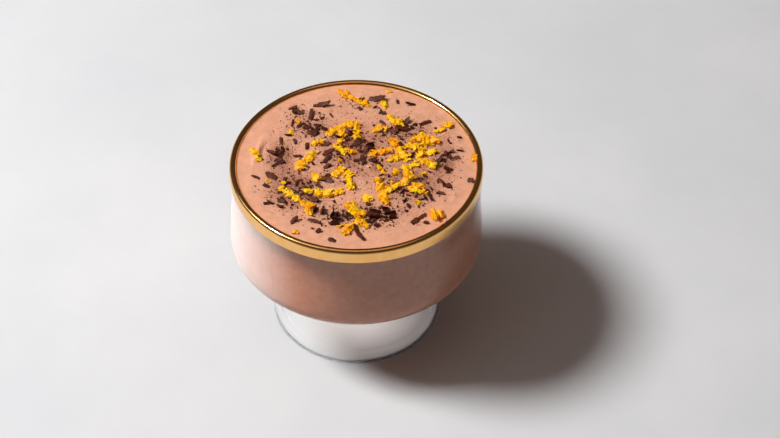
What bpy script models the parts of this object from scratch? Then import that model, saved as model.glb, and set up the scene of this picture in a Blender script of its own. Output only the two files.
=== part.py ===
"""Chocolate mousse in a gold-rimmed glass on a hollow foot.

Three bodies: the glass, the gold band over its lip, and the mousse that fills it almost to the lip.
Units are metres and +Z is up. The origin is the centre of the ring that the foot stands on.
Every body is an outline of (radius, height) points spun round the Z axis.
"""

import math

import bmesh
import bpy

# Lip and bowl
LIP_RADIUS = 0.0450
LIP_ROUND = 0.0013
LIP_HEIGHT = 0.07175
WAIST_RADIUS = 0.0447
WAIST_HEIGHT = 0.0610
BELLY_RADIUS = 0.0459
BELLY_HEIGHT = 0.0395
BOWL_DROP = 0.0160
BOWL_CURVE = 1.8
WALL = 2 * LIP_ROUND
FLOOR_HEIGHT = 0.0263

# Foot: a neck that spreads into a flare, a steeper skirt below the crease, and the hollow inside
NECK_RADIUS = 0.0230
NECK_BLEND_WIDTH = 0.0080
NECK_BLEND_HEIGHT = 0.0070
FLARE_TOP = 0.0130
FLARE_SLOPE = 35.0
CREASE_RADIUS = 0.0289
CREASE_HEIGHT = 0.0050
FOOT_RADIUS = 0.0313
FOOT_EDGE_HEIGHT = 0.0016
FOOT_EDGE_ROUND = 0.0009
RING_INNER_RADIUS = 0.0286
HOLLOW_RADIUS = 0.0202
HOLLOW_FLARE_TOP = 0.0120
HOLLOW_SHOULDER = 0.0160
HOLLOW_ROUND = 0.0050
HOLLOW_TOP = 0.0215

# Gold band: how far it reaches down outside and inside, and how thick it is
BAND_FOOT_OUTSIDE = 0.0678
BAND_FOOT_INSIDE = 0.0704
BAND_THICKNESS = 0.0003
GAP = 0.0003

# Mousse surface: the level at the glass, and low swells (x, y, height, length, width, turn in degrees)
MOUSSE_LEVEL = 0.0720
SWELLS = (
    (-0.034, 0.004, 0.00045, 0.013, 0.0035, 80.0),
    (-0.028, 0.016, -0.00025, 0.012, 0.0060, 60.0),
    (0.004, 0.001, 0.00055, 0.009, 0.0070, 20.0),
    (0.012, -0.034, 0.00030, 0.010, 0.0030, 25.0),
    (-0.012, -0.022, -0.00025, 0.012, 0.0080, -20.0),
    (0.024, 0.014, 0.00035, 0.011, 0.0070, -40.0),
)
RIM_CALM = 0.006

SEGMENTS = 56


def blend(share):
    """Ease from 0 to 1 with level ends."""
    share = min(max(share, 0.0), 1.0)
    return share * share * (3.0 - 2.0 * share)


def arc(centre_radius, centre_height, size, start, end, steps):
    """Points along part of a circle, with angles in degrees from the outward direction."""
    points = []
    for step in range(steps + 1):
        angle = math.radians(start + (end - start) * step / steps)
        radius = centre_radius + size * math.cos(angle)
        height = centre_height + size * math.sin(angle)
        points.append((radius, height))
    return points


def corner(start, control, end, steps):
    """Points along a curve that leaves start and reaches end aimed at the control point."""
    points = []
    for step in range(steps + 1):
        share = step / steps
        weights = ((1.0 - share) ** 2, 2.0 * share * (1.0 - share), share ** 2)
        radius = sum(weight * point[0] for weight, point in zip(weights, (start, control, end)))
        height = sum(weight * point[1] for weight, point in zip(weights, (start, control, end)))
        points.append((radius, height))
    return points


def outer_radius(height):
    """Radius of the glass's outside between the belly and the lip, drawn in a little at the waist."""
    if height < WAIST_HEIGHT:
        share = blend((height - BELLY_HEIGHT) / (WAIST_HEIGHT - BELLY_HEIGHT))
        return BELLY_RADIUS + (WAIST_RADIUS - BELLY_RADIUS) * share
    share = blend((height - WAIST_HEIGHT) / (LIP_HEIGHT - WAIST_HEIGHT))
    return WAIST_RADIUS + (LIP_RADIUS - WAIST_RADIUS) * share


def wall_line(low, high, inset, steps):
    """Points up the wall from low to high, set in from its outside."""
    heights = [low + (high - low) * step / steps for step in range(steps + 1)]
    return [(outer_radius(height) - inset, height) for height in heights]


def lip_arc(inset, start, end, steps):
    """Points over the rounded lip, set in from its surface."""
    size = LIP_ROUND - inset
    return arc(LIP_RADIUS - LIP_ROUND, LIP_HEIGHT, size, start, end, steps)


def bowl_curve(half_width, drop, start, end, steps):
    """Points under the belly, from 0 degrees at the belly to 90 on the axis.

    The curve is (radius / half_width) ** BOWL_CURVE + (depth / drop) ** BOWL_CURVE = 1.
    """
    power = 2.0 / BOWL_CURVE
    points = []
    for step in range(steps + 1):
        angle = math.radians(start + (end - start) * step / steps)
        radius = half_width * max(math.cos(angle), 0.0) ** power
        height = BELLY_HEIGHT - drop * math.sin(angle) ** power
        points.append((radius, height))
    return points


def inner_bowl(inset, steps):
    """Points from the middle of the bowl's floor out to the wall at the belly, set in from the glass."""
    half_width = BELLY_RADIUS - WALL - inset
    drop = BELLY_HEIGHT - FLOOR_HEIGHT - inset
    curve = bowl_curve(half_width, drop, 90.0, 0.0, steps)
    return [(0.0, curve[0][1])] + curve[1:]


def underside_and_neck():
    """Points from the belly under the bowl, down the neck and out along the flare to the crease."""
    reach = (NECK_RADIUS + NECK_BLEND_WIDTH) / BELLY_RADIUS
    end_angle = math.degrees(math.acos(reach ** (BOWL_CURVE / 2.0)))
    curve = bowl_curve(BELLY_RADIUS, BOWL_DROP, 0.0, end_angle, 7)
    end_height = curve[-1][1]
    depth = (BELLY_HEIGHT - end_height) / BOWL_DROP
    slope = BOWL_DROP / BELLY_RADIUS * (reach / depth) ** (BOWL_CURVE - 1.0)
    corner_height = end_height - slope * NECK_BLEND_WIDTH
    neck_top = (NECK_RADIUS, corner_height - NECK_BLEND_HEIGHT)
    curve += corner(curve[-1], (NECK_RADIUS, corner_height), neck_top, 4)[1:]
    rise = (CREASE_RADIUS - NECK_RADIUS) * math.tan(math.radians(FLARE_SLOPE))
    flare_aim = (NECK_RADIUS, CREASE_HEIGHT + rise)
    crease = (CREASE_RADIUS, CREASE_HEIGHT)
    return curve + corner((NECK_RADIUS, FLARE_TOP), flare_aim, crease, 5)


def foot():
    """Points from the crease over the skirt, round the edge, across the ring and up the hollow."""
    skirt_aim = ((CREASE_RADIUS + FOOT_RADIUS) / 2 + 0.0003, (CREASE_HEIGHT + FOOT_EDGE_HEIGHT) / 2)
    skirt_end = (FOOT_RADIUS, FOOT_EDGE_HEIGHT)
    curve = corner((CREASE_RADIUS, CREASE_HEIGHT), skirt_aim, skirt_end, 2)[1:]
    edge_radius = FOOT_RADIUS - FOOT_EDGE_ROUND
    curve += arc(edge_radius, FOOT_EDGE_ROUND, FOOT_EDGE_ROUND, 0.0, -90.0, 3)
    ring_edge = (RING_INNER_RADIUS, 0.0)
    hollow_aim = (HOLLOW_RADIUS, HOLLOW_FLARE_TOP / 2)
    curve += corner(ring_edge, hollow_aim, (HOLLOW_RADIUS, HOLLOW_FLARE_TOP), 4)
    shoulder_radius = HOLLOW_RADIUS - HOLLOW_ROUND
    curve += arc(shoulder_radius, HOLLOW_SHOULDER, HOLLOW_ROUND, 0.0, 90.0, 3)
    return curve + [(0.0, HOLLOW_TOP)]


def glass_outline():
    """Closed between two points on the axis: inside of the bowl, lip, outside, foot and hollow."""
    under_gold = BAND_THICKNESS + GAP
    inside_ledge = BAND_FOOT_INSIDE - GAP
    outside_ledge = BAND_FOOT_OUTSIDE - GAP
    points = inner_bowl(0.0, 7)
    points += wall_line(BELLY_HEIGHT, inside_ledge, WALL, 4)[1:]
    points.append((outer_radius(inside_ledge) - WALL + under_gold, inside_ledge))
    points += lip_arc(under_gold, 180.0, 0.0, 4)
    points += wall_line(LIP_HEIGHT, outside_ledge, under_gold, 1)[1:]
    points += wall_line(outside_ledge, BELLY_HEIGHT, 0.0, 4)[:-1]
    points += underside_and_neck()
    points += foot()
    return points


def gold_outline():
    """A closed loop: the band's outer surface over the lip and its inner surface back."""
    points = wall_line(BAND_FOOT_OUTSIDE, LIP_HEIGHT, 0.0, 2)[:-1]
    points += lip_arc(0.0, 0.0, 180.0, 6)
    points.append((LIP_RADIUS - WALL, BAND_FOOT_INSIDE))
    points.append((LIP_RADIUS - WALL + BAND_THICKNESS, BAND_FOOT_INSIDE))
    points += lip_arc(BAND_THICKNESS, 180.0, 0.0, 4)
    points.append((outer_radius(BAND_FOOT_OUTSIDE) - BAND_THICKNESS, BAND_FOOT_OUTSIDE))
    return points


def mousse_outline():
    """Closed between two points on the axis: the side against the glass and the level top."""
    side_top = MOUSSE_LEVEL - 0.0004
    points = inner_bowl(GAP, 7)
    points += wall_line(BELLY_HEIGHT, side_top, WALL + GAP, 4)[1:]
    edge = points[-1][0]
    for share in (0.99, 0.93, 0.82, 0.68, 0.52, 0.34, 0.16, 0.0):
        points.append((edge * share, MOUSSE_LEVEL))
    return points


def swell_height(x, y):
    """How far the mousse stands above or below its level at a place, calm beside the glass."""
    total = 0.0
    for centre_x, centre_y, height, length, width, turn in SWELLS:
        angle = math.radians(turn)
        along = (x - centre_x) * math.cos(angle) + (y - centre_y) * math.sin(angle)
        across = (y - centre_y) * math.cos(angle) - (x - centre_x) * math.sin(angle)
        total += height * math.exp(-((along / length) ** 2 + (across / width) ** 2))
    edge = LIP_RADIUS - WALL
    return total * blend((edge - math.hypot(x, y)) / RIM_CALM)


def turned(name, outline, closed, material):
    """Spin an outline once round the Z axis into one smooth-shaded body."""
    body = bmesh.new()
    verts = [body.verts.new((radius, 0.0, height)) for radius, height in outline]
    ends = verts[1:] + verts[:1] if closed else verts[1:]
    edges = [body.edges.new(pair) for pair in zip(verts, ends)]
    bmesh.ops.spin(
        body, geom=verts + edges, cent=(0, 0, 0), axis=(0, 0, 1), angle=2 * math.pi, steps=SEGMENTS
    )
    bmesh.ops.remove_doubles(body, verts=body.verts, dist=0.000002)
    bmesh.ops.recalc_face_normals(body, faces=body.faces)
    mesh = bpy.data.meshes.new(name)
    body.to_mesh(mesh)
    body.free()
    mesh.shade_smooth()
    mesh.set_sharp_from_angle(angle=math.radians(40))
    mesh.materials.append(material)
    thing = bpy.data.objects.new(name, mesh)
    bpy.context.scene.collection.objects.link(thing)
    return thing


def plain_material(name, colour, roughness, metallic=0.0, transmission=0.0):
    """A Principled material of one colour."""
    material = bpy.data.materials.new(name)
    material.use_nodes = True
    shader = material.node_tree.nodes["Principled BSDF"]
    shader.inputs["Base Color"].default_value = (*colour, 1.0)
    shader.inputs["Roughness"].default_value = roughness
    shader.inputs["Metallic"].default_value = metallic
    shader.inputs["Transmission Weight"].default_value = transmission
    return material


def raise_swells(mousse):
    """Lift the mousse's top into its low swells."""
    for vert in mousse.data.vertices:
        if vert.co.z > MOUSSE_LEVEL - 0.0001:
            vert.co.z += swell_height(vert.co.x, vert.co.y)


def build():
    for thing in list(bpy.data.objects):
        bpy.data.objects.remove(thing, do_unlink=True)
    clear_glass = plain_material("clear_glass", (0.95, 0.97, 0.97), 0.02, transmission=1.0)
    gold = plain_material("gold", (0.70, 0.42, 0.16), 0.22, metallic=1.0)
    chocolate_mousse = plain_material("chocolate_mousse", (0.48, 0.25, 0.18), 0.55)

    stand = bpy.data.objects.new("dessert", None)
    bpy.context.scene.collection.objects.link(stand)
    glass = turned("glass", glass_outline(), False, clear_glass)
    gold_rim = turned("gold_rim", gold_outline(), True, gold)
    mousse = turned("mousse", mousse_outline(), False, chocolate_mousse)
    raise_swells(mousse)
    for thing in (glass, gold_rim, mousse):
        thing.parent = stand


build()
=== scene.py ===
"""Looks of a chocolate mousse in a gold-rimmed glass, topped with shaved chocolate and orange zest.

Units are metres and degrees, +Z is up, and the glass stands on the floor around the Z axis.
The glass, its gold band and the mousse are turned finely here, on the same curves as the CAD solids.
Toppings are listed in millimetres from the axis, +X to the right and +Y away from the camera.
"""

import math
import random

import bmesh
import bpy
from mathutils import Matrix, Vector, noise


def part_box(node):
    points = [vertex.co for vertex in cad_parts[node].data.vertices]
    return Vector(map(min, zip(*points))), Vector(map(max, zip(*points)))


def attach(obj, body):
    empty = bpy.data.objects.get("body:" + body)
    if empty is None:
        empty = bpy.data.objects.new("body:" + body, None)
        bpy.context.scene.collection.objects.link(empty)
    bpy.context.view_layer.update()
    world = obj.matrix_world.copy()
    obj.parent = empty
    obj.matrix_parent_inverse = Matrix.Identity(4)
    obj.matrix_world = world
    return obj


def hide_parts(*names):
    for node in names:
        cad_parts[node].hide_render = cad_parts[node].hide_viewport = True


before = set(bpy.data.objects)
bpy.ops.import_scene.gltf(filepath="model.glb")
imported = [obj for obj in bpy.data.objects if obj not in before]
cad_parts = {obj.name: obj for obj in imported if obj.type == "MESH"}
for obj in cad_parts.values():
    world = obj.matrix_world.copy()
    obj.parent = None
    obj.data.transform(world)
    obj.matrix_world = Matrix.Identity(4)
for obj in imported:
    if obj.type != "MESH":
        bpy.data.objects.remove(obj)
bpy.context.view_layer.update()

MM = 0.001
rng = random.Random(20)

# Glass: lip, bowl and foot, as the CAD solids have them
LIP_ROUND = 1.3 * MM
LIP_RADIUS = 45.0 * MM
LIP_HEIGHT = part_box("gold_rim")[1].z - LIP_ROUND
WAIST_RADIUS = 44.7 * MM
WAIST_HEIGHT = 61.0 * MM
BELLY_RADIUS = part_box("glass")[1].x
BELLY_HEIGHT = 39.5 * MM
BOWL_DROP = 16.0 * MM
BOWL_CURVE = 1.8
WALL = 2 * LIP_ROUND
FLOOR_HEIGHT = 26.3 * MM
NECK_RADIUS = 23.0 * MM
NECK_BLEND_WIDTH = 8.0 * MM
NECK_BLEND_HEIGHT = 7.0 * MM
FLARE_TOP = 13.0 * MM
FLARE_SLOPE = 35.0
CREASE_RADIUS = 28.9 * MM
CREASE_HEIGHT = 5.0 * MM
FOOT_RADIUS = 31.3 * MM
FOOT_EDGE_HEIGHT = 1.6 * MM
FOOT_EDGE_ROUND = 0.9 * MM
RING_INNER_RADIUS = 28.6 * MM
# Only the fine surface has the small ledge at the crease and the rounded inner edge of the ring
LEDGE = 0.5 * MM
RING_ROUND = 0.6 * MM
HOLLOW_RADIUS = 20.2 * MM
HOLLOW_FLARE_TOP = 12.0 * MM
HOLLOW_SHOULDER = 16.0 * MM
HOLLOW_ROUND = 5.0 * MM
HOLLOW_TOP = 21.5 * MM

# Gold film: how far it reaches down, and how thick it is
BAND_FOOT_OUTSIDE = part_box("gold_rim")[0].z
BAND_FOOT_INSIDE = 70.4 * MM
FILM = 0.05 * MM

# Mousse: it reaches this far into the wall, and its top has low swells
INTO_WALL = 0.15 * MM
MOUSSE_LEVEL = 72.0 * MM
SWELLS = (
    # x, y, height, length, width, turn
    (-34, 4, 0.45, 13, 3.5, 80), (-28, 16, -0.25, 12, 6, 60), (4, 1, 0.55, 9, 7, 20),
    (12, -34, 0.30, 10, 3, 25), (-12, -22, -0.25, 12, 8, -20), (24, 14, 0.35, 11, 7, -40),
)
RIM_CALM = 6.0 * MM

# Smaller folds and peaks that only the fine surface has, listed like the swells
FOLDS = (
    (-35.3, 5, 0.80, 5, 0.9, 76), (-33.4, 6, -0.50, 5, 1.2, 76), (5.2, -2, 1.00, 2.4, 1.6, 30),
    (0.5, -6, 0.55, 4, 2.2, -30), (-8, -11, 0.60, 3, 1.6, 10), (27, 5.5, -0.55, 4.5, 2.4, 40),
    (12.5, -37.5, 0.40, 3.6, 0.8, 12), (14, -36, -0.20, 3.6, 1, 12), (30, 22, 0.30, 6, 1.6, -50),
    (-14, 36, 0.25, 6, 1.6, 15), (-24, -26, 0.30, 6, 1.4, -48), (35, -16, 0.28, 5, 1.3, 62),
)

# Mist on the chilled glass, put only on its lit left side, where it is a painted veil of light: its share at
# most, where it starts and is full, and how low it reaches
MIST_AND_VEIL_MOST = 0.72
LIT_VEIL_FROM = -0.46 * BELLY_RADIUS
LIT_VEIL_FULL = -0.93 * BELLY_RADIUS
MIST_FOOT = 27.0 * MM
MIST_BLEND = 8.0 * MM

# Room light: the horizon's colour up to one height of the sky, and the room's from another
ROOM_COLOUR = (0.056, 0.041, 0.034)
HORIZON_COLOUR = (0.28, 0.27, 0.26)
HORIZON_LOW = 0.06
HORIZON_HIGH = 0.22

# The floor, and the backdrop that it fades into between two distances
FLOOR_RADIUS = 4.0
BACKDROP_COLOUR = (0.60, 0.60, 0.61)
FADE_FROM = 0.32
FADE_TO = 1.10

# How finely bodies are made, and from which angle in degrees an edge stays sharp
SEGMENTS = 288
MOUSSE_RINGS = 110
CREASE_ANGLE = 40.0
SCRAP_CREASE_ANGLE = 50.0


def blend(share):
    """Ease from 0 to 1 with level ends."""
    share = min(max(share, 0.0), 1.0)
    return share * share * (3.0 - 2.0 * share)


# ---- outlines

def arc(centre_radius, centre_height, size, start, end, steps):
    """Points along part of a circle, with angles from the outward direction."""
    points = []
    for step in range(steps + 1):
        angle = math.radians(start + (end - start) * step / steps)
        points.append((centre_radius + size * math.cos(angle), centre_height + size * math.sin(angle)))
    return points


def corner(start, control, end, steps):
    """Points along a curve that leaves start and reaches end aimed at the control point."""
    points = []
    for step in range(steps + 1):
        share = step / steps
        weights = ((1.0 - share) ** 2, 2.0 * share * (1.0 - share), share ** 2)
        radius = sum(weight * point[0] for weight, point in zip(weights, (start, control, end)))
        height = sum(weight * point[1] for weight, point in zip(weights, (start, control, end)))
        points.append((radius, height))
    return points


def outer_radius(height):
    """Radius of the glass's outside between the belly and the lip, drawn in a little at the waist."""
    if height < WAIST_HEIGHT:
        share = blend((height - BELLY_HEIGHT) / (WAIST_HEIGHT - BELLY_HEIGHT))
        return BELLY_RADIUS + (WAIST_RADIUS - BELLY_RADIUS) * share
    share = blend((height - WAIST_HEIGHT) / (LIP_HEIGHT - WAIST_HEIGHT))
    return WAIST_RADIUS + (LIP_RADIUS - WAIST_RADIUS) * share


def wall_line(low, high, inset, steps):
    """Points up the wall from low to high, set in from its outside."""
    heights = [low + (high - low) * step / steps for step in range(steps + 1)]
    return [(outer_radius(height) - inset, height) for height in heights]


def lip_arc(inset, start, end, steps):
    """Points over the rounded lip, set in from its surface."""
    return arc(LIP_RADIUS - LIP_ROUND, LIP_HEIGHT, LIP_ROUND - inset, start, end, steps)


def bowl_curve(half_width, drop, start, end, steps):
    """Points under the belly, from 0 degrees at the belly to 90 on the axis."""
    power = 2.0 / BOWL_CURVE
    points = []
    for step in range(steps + 1):
        angle = math.radians(start + (end - start) * step / steps)
        radius = half_width * max(math.cos(angle), 0.0) ** power
        points.append((radius, BELLY_HEIGHT - drop * math.sin(angle) ** power))
    return points


def inner_bowl(inset, steps):
    """Points from the middle of the bowl's floor out to the wall at the belly, set in from the glass."""
    half_width = BELLY_RADIUS - WALL - inset
    curve = bowl_curve(half_width, BELLY_HEIGHT - FLOOR_HEIGHT - inset, 90.0, 0.0, steps)
    return [(0.0, curve[0][1])] + curve[1:]


def underside_and_neck():
    """Points from the belly under the bowl, down the neck and out along the flare to the crease."""
    reach = (NECK_RADIUS + NECK_BLEND_WIDTH) / BELLY_RADIUS
    end_angle = math.degrees(math.acos(reach ** (BOWL_CURVE / 2.0)))
    curve = bowl_curve(BELLY_RADIUS, BOWL_DROP, 0.0, end_angle, 24)
    end_height = curve[-1][1]
    depth = (BELLY_HEIGHT - end_height) / BOWL_DROP
    slope = BOWL_DROP / BELLY_RADIUS * (reach / depth) ** (BOWL_CURVE - 1.0)
    corner_height = end_height - slope * NECK_BLEND_WIDTH
    neck_top = (NECK_RADIUS, corner_height - NECK_BLEND_HEIGHT)
    curve += corner(curve[-1], (NECK_RADIUS, corner_height), neck_top, 14)[1:]
    rise = (CREASE_RADIUS - NECK_RADIUS) * math.tan(math.radians(FLARE_SLOPE))
    flare_aim = (NECK_RADIUS, CREASE_HEIGHT + rise)
    return curve + corner((NECK_RADIUS, FLARE_TOP), flare_aim, (CREASE_RADIUS, CREASE_HEIGHT), 14)


def foot():
    """Points from the crease over the skirt, round the edge, across the ring and up the hollow."""
    skirt_aim = ((CREASE_RADIUS + FOOT_RADIUS) / 2 + 0.3 * MM, (CREASE_HEIGHT + FOOT_EDGE_HEIGHT) / 2)
    curve = arc(CREASE_RADIUS, CREASE_HEIGHT - LEDGE, LEDGE, 90.0, 20.0, 6)[1:]
    curve += corner(curve[-1], skirt_aim, (FOOT_RADIUS, FOOT_EDGE_HEIGHT), 6)[1:]
    curve += arc(FOOT_RADIUS - FOOT_EDGE_ROUND, FOOT_EDGE_ROUND, FOOT_EDGE_ROUND, 0.0, -90.0, 8)[1:]
    hollow_aim = (HOLLOW_RADIUS, HOLLOW_FLARE_TOP / 2)
    ring_end = (RING_INNER_RADIUS - 0.5 * RING_ROUND, RING_ROUND)
    curve += corner((RING_INNER_RADIUS + RING_ROUND, 0.0), (RING_INNER_RADIUS, 0.0), ring_end, 6)
    curve += corner(ring_end, hollow_aim, (HOLLOW_RADIUS, HOLLOW_FLARE_TOP), 14)[1:]
    curve += arc(HOLLOW_RADIUS - HOLLOW_ROUND, HOLLOW_SHOULDER, HOLLOW_ROUND, 0.0, 90.0, 10)
    return curve + [(0.0, HOLLOW_TOP)]


def glass_outline():
    """Closed between two points on the axis: inside of the bowl, lip, outside, foot and hollow."""
    under_gold = 1.2 * FILM
    points = inner_bowl(0.0, 24)
    points += wall_line(BELLY_HEIGHT, BAND_FOOT_INSIDE, WALL, 16)[1:]
    points += lip_arc(under_gold, 180.0, 0.0, 20)
    points += wall_line(LIP_HEIGHT, BAND_FOOT_OUTSIDE, under_gold, 6)[1:]
    points += wall_line(BAND_FOOT_OUTSIDE - 0.3 * MM, BELLY_HEIGHT, 0.0, 20)[:-1]
    return points + underside_and_neck() + foot()


def gold_outline():
    """A closed loop: the film's outer surface over the lip and its inner surface back."""
    points = wall_line(BAND_FOOT_OUTSIDE, LIP_HEIGHT, 0.0, 6)[:-1]
    points += lip_arc(0.0, 0.0, 180.0, 28)
    points.append((LIP_RADIUS - WALL, BAND_FOOT_INSIDE))
    points.append((LIP_RADIUS - WALL + FILM, BAND_FOOT_INSIDE))
    points += lip_arc(FILM, 180.0, 0.0, 20)
    points.append((outer_radius(BAND_FOOT_OUTSIDE) - FILM, BAND_FOOT_OUTSIDE))
    return points


# ---- mousse surface

def swell_height(x, y):
    """How far the mousse stands above or below its level at a place, in metres."""
    total = 0.0
    for centre_x, centre_y, height, length, width, turn in SWELLS + FOLDS:
        angle = math.radians(turn)
        over_x = x / MM - centre_x
        over_y = y / MM - centre_y
        along = over_x * math.cos(angle) + over_y * math.sin(angle)
        across = over_y * math.cos(angle) - over_x * math.sin(angle)
        total += height * MM * math.exp(-((along / length) ** 2 + (across / width) ** 2))
    return total


def fine_relief(x, y):
    """Small dimples and ripples left in the set mousse."""
    broad = noise.noise(Vector((x, y, 0.0)) / (7.0 * MM)) * 0.16
    middle = noise.noise(Vector((x, y, 5.0 * MM)) / (2.4 * MM)) * 0.09
    small = noise.noise(Vector((x, y, 9.0 * MM)) / (0.9 * MM)) * 0.03
    return (broad + middle + small) * MM


def mousse_height(x, y):
    """Height of the mousse's top at a place, calm beside the glass."""
    calm = blend((LIP_RADIUS - WALL - math.hypot(x, y)) / RIM_CALM)
    return MOUSSE_LEVEL + (swell_height(x, y) + fine_relief(x, y)) * (0.12 + 0.88 * calm)


# ---- meshes

def new_object(name, mesh, material):
    mesh.materials.append(material)
    thing = bpy.data.objects.new(name, mesh)
    bpy.context.scene.collection.objects.link(thing)
    return thing


def face_outwards(mesh):
    body = bmesh.new()
    body.from_mesh(mesh)
    bmesh.ops.recalc_face_normals(body, faces=body.faces)
    body.to_mesh(mesh)
    body.free()


def turned(name, outline, closed, material):
    """Spin an outline of (radius, height) once round the Z axis into one smooth body."""
    verts = []
    rows = []
    for radius, height in outline:
        if radius < 1e-7:
            rows.append([len(verts)] * SEGMENTS)
            verts.append((0.0, 0.0, height))
            continue
        rows.append(list(range(len(verts), len(verts) + SEGMENTS)))
        for step in range(SEGMENTS):
            angle = 2.0 * math.pi * step / SEGMENTS
            verts.append((radius * math.cos(angle), radius * math.sin(angle), height))
    pairs = list(zip(rows, rows[1:]))
    if closed:
        pairs.append((rows[-1], rows[0]))
    faces = []
    for low, high in pairs:
        for step in range(SEGMENTS):
            after = (step + 1) % SEGMENTS
            ring = [low[step], low[after], high[after], high[step]]
            faces.append(tuple(dict.fromkeys(ring)))
    mesh = bpy.data.meshes.new(name)
    mesh.from_pydata(verts, [], faces)
    face_outwards(mesh)
    mesh.shade_smooth()
    mesh.set_sharp_from_angle(angle=math.radians(CREASE_ANGLE))
    return new_object(name, mesh, material)


def mousse_outline():
    """Closed between two points on the axis: the side, just inside the wall, and the level top."""
    points = inner_bowl(-INTO_WALL, 30)
    points += wall_line(BELLY_HEIGHT, MOUSSE_LEVEL - 0.3 * MM, WALL - INTO_WALL, 24)[1:]
    edge = points[-1][0]
    for ring in range(MOUSSE_RINGS + 1):
        points.append((edge * (1.0 - ring / MOUSSE_RINGS), MOUSSE_LEVEL))
    return points


def make_mousse(material):
    mousse = turned("mousse_fill", mousse_outline(), False, material)
    dusts = []
    for vert in mousse.data.vertices:
        on_top = vert.co.z > MOUSSE_LEVEL - 0.01 * MM
        dusts.append(dust_share(vert.co.x, vert.co.y) if on_top else 0.0)
        if on_top:
            vert.co.z = mousse_height(vert.co.x, vert.co.y)
    dust = mousse.data.attributes.new("dust", "FLOAT", "POINT")
    dust.data.foreach_set("value", dusts)
    return mousse


class Heap:
    """Many small bodies gathered into one mesh, each with its own tone from 0 to 1."""

    def __init__(self):
        self.verts = []
        self.faces = []
        self.tones = []

    def add(self, verts, faces, tone):
        start = len(self.verts)
        self.verts += [tuple(vert) for vert in verts]
        self.faces += [tuple(start + corner_index for corner_index in face) for face in faces]
        self.tones += [tone] * len(verts)

    def to_object(self, name, material, smooth):
        mesh = bpy.data.meshes.new(name)
        mesh.from_pydata(self.verts, [], self.faces)
        face_outwards(mesh)
        tone = mesh.attributes.new("tone", "FLOAT", "POINT")
        tone.data.foreach_set("value", self.tones)
        if smooth:
            mesh.shade_smooth()
            mesh.set_sharp_from_angle(angle=math.radians(SCRAP_CREASE_ANGLE))
        return new_object(name, mesh, material)


def grid_body(rows, columns, point):
    """A closed plate: point(row, column, side) gives a place on its upper (1) or lower (-1) face."""
    verts = []
    for side in (1, -1):
        for row in range(rows + 1):
            for column in range(columns + 1):
                verts.append(point(row, column, side))
    under = (rows + 1) * (columns + 1)

    def index(row, column):
        return row * (columns + 1) + column

    faces = []
    for row in range(rows):
        for column in range(columns):
            near, far = index(row, column), index(row + 1, column)
            ring = (near, far, far + 1, near + 1)
            faces.append(ring)
            faces.append(tuple(under + corner_index for corner_index in reversed(ring)))
    border = [(row, 0) for row in range(rows + 1)]
    border += [(rows, column) for column in range(1, columns + 1)]
    border += [(row, columns) for row in range(rows - 1, -1, -1)]
    border += [(0, column) for column in range(columns - 1, 0, -1)]
    for here, after in zip(border, border[1:] + border[:1]):
        first, second = index(*here), index(*after)
        faces.append((first, under + first, under + second, second))
    return verts, faces


def shard(length, width, thickness, curl):
    """A flake broken off a block: ragged along its sides and bent by curl degrees from end to end."""
    rows = 12 if abs(curl) > 120 else 7
    columns = 4
    taper = [0.55 + 0.45 * math.sin(math.pi * (0.12 + 0.76 * row / rows)) for row in range(rows + 1)]
    widths = [share * rng.uniform(0.78, 1.12) for share in taper]
    shifts = [rng.uniform(-0.10, 0.10) for row in range(rows + 1)]
    ends = [rng.uniform(-0.07, 0.07) for column in range(columns + 1)]
    bumps = [rng.uniform(-0.25, 0.25) for spot in range((rows + 1) * (columns + 1))]
    bend = math.radians(curl)
    twist = math.radians(rng.uniform(-14.0, 14.0))

    def point(row, column, side):
        share = row / rows - 0.5
        across = 2.0 * column / columns - 1.0
        along = share + ends[column] * abs(2.0 * share)
        y = width * (0.5 * across * widths[row] + shifts[row])
        edge_thin = 1.0 - 0.45 * across * across
        lift = 0.5 * side * thickness * edge_thin + bumps[row * (columns + 1) + column] * thickness * 0.5
        if abs(bend) < 0.05:
            x, z = along * length, lift
        else:
            turn_radius = length / bend
            angle = along * bend
            x = (turn_radius - lift) * math.sin(angle)
            z = turn_radius - (turn_radius - lift) * math.cos(angle)
        return Vector((x, y, z + y * math.sin(twist * share * 2.0)))

    return grid_body(rows, columns, point)


ICO = (1.0 + math.sqrt(5.0)) / 2.0
ICO_VERTS = [
    Vector(corner_point).normalized()
    for corner_point in (
        (-1, ICO, 0), (1, ICO, 0), (-1, -ICO, 0), (1, -ICO, 0), (0, -1, ICO), (0, 1, ICO),
        (0, -1, -ICO), (0, 1, -ICO), (ICO, 0, -1), (ICO, 0, 1), (-ICO, 0, -1), (-ICO, 0, 1),
    )
]
ICO_FACES = (
    (0, 11, 5), (0, 5, 1), (0, 1, 7), (0, 7, 10), (0, 10, 11), (1, 5, 9), (5, 11, 4), (11, 10, 2), (10, 7, 6),
    (7, 1, 8), (3, 9, 4), (3, 4, 2), (3, 2, 6), (3, 6, 8), (3, 8, 9), (4, 9, 5), (2, 4, 11), (6, 2, 10),
    (8, 6, 7), (9, 8, 1),
)
OCTA_VERTS = [Vector(p) for p in ((1, 0, 0), (-1, 0, 0), (0, 1, 0), (0, -1, 0), (0, 0, 1), (0, 0, -1))]
OCTA_FACES = (
    (0, 2, 4), (2, 1, 4), (1, 3, 4), (3, 0, 4), (2, 0, 5), (1, 2, 5), (3, 1, 5), (0, 3, 5),
)


def rounded(verts, faces):
    """A finer ball: each triangle is cut into four and its new corners pushed out to the sphere."""
    verts = list(verts)
    middles = {}

    def middle(first, second):
        key = (min(first, second), max(first, second))
        if key not in middles:
            middles[key] = len(verts)
            verts.append(((verts[first] + verts[second]) / 2.0).normalized())
        return middles[key]

    finer = []
    for first, second, third in faces:
        a, b, c = middle(first, second), middle(second, third), middle(third, first)
        finer += [(first, a, c), (second, b, a), (third, c, b), (a, b, c)]
    return verts, finer


BALL_VERTS, BALL_FACES = rounded(ICO_VERTS, ICO_FACES)


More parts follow.
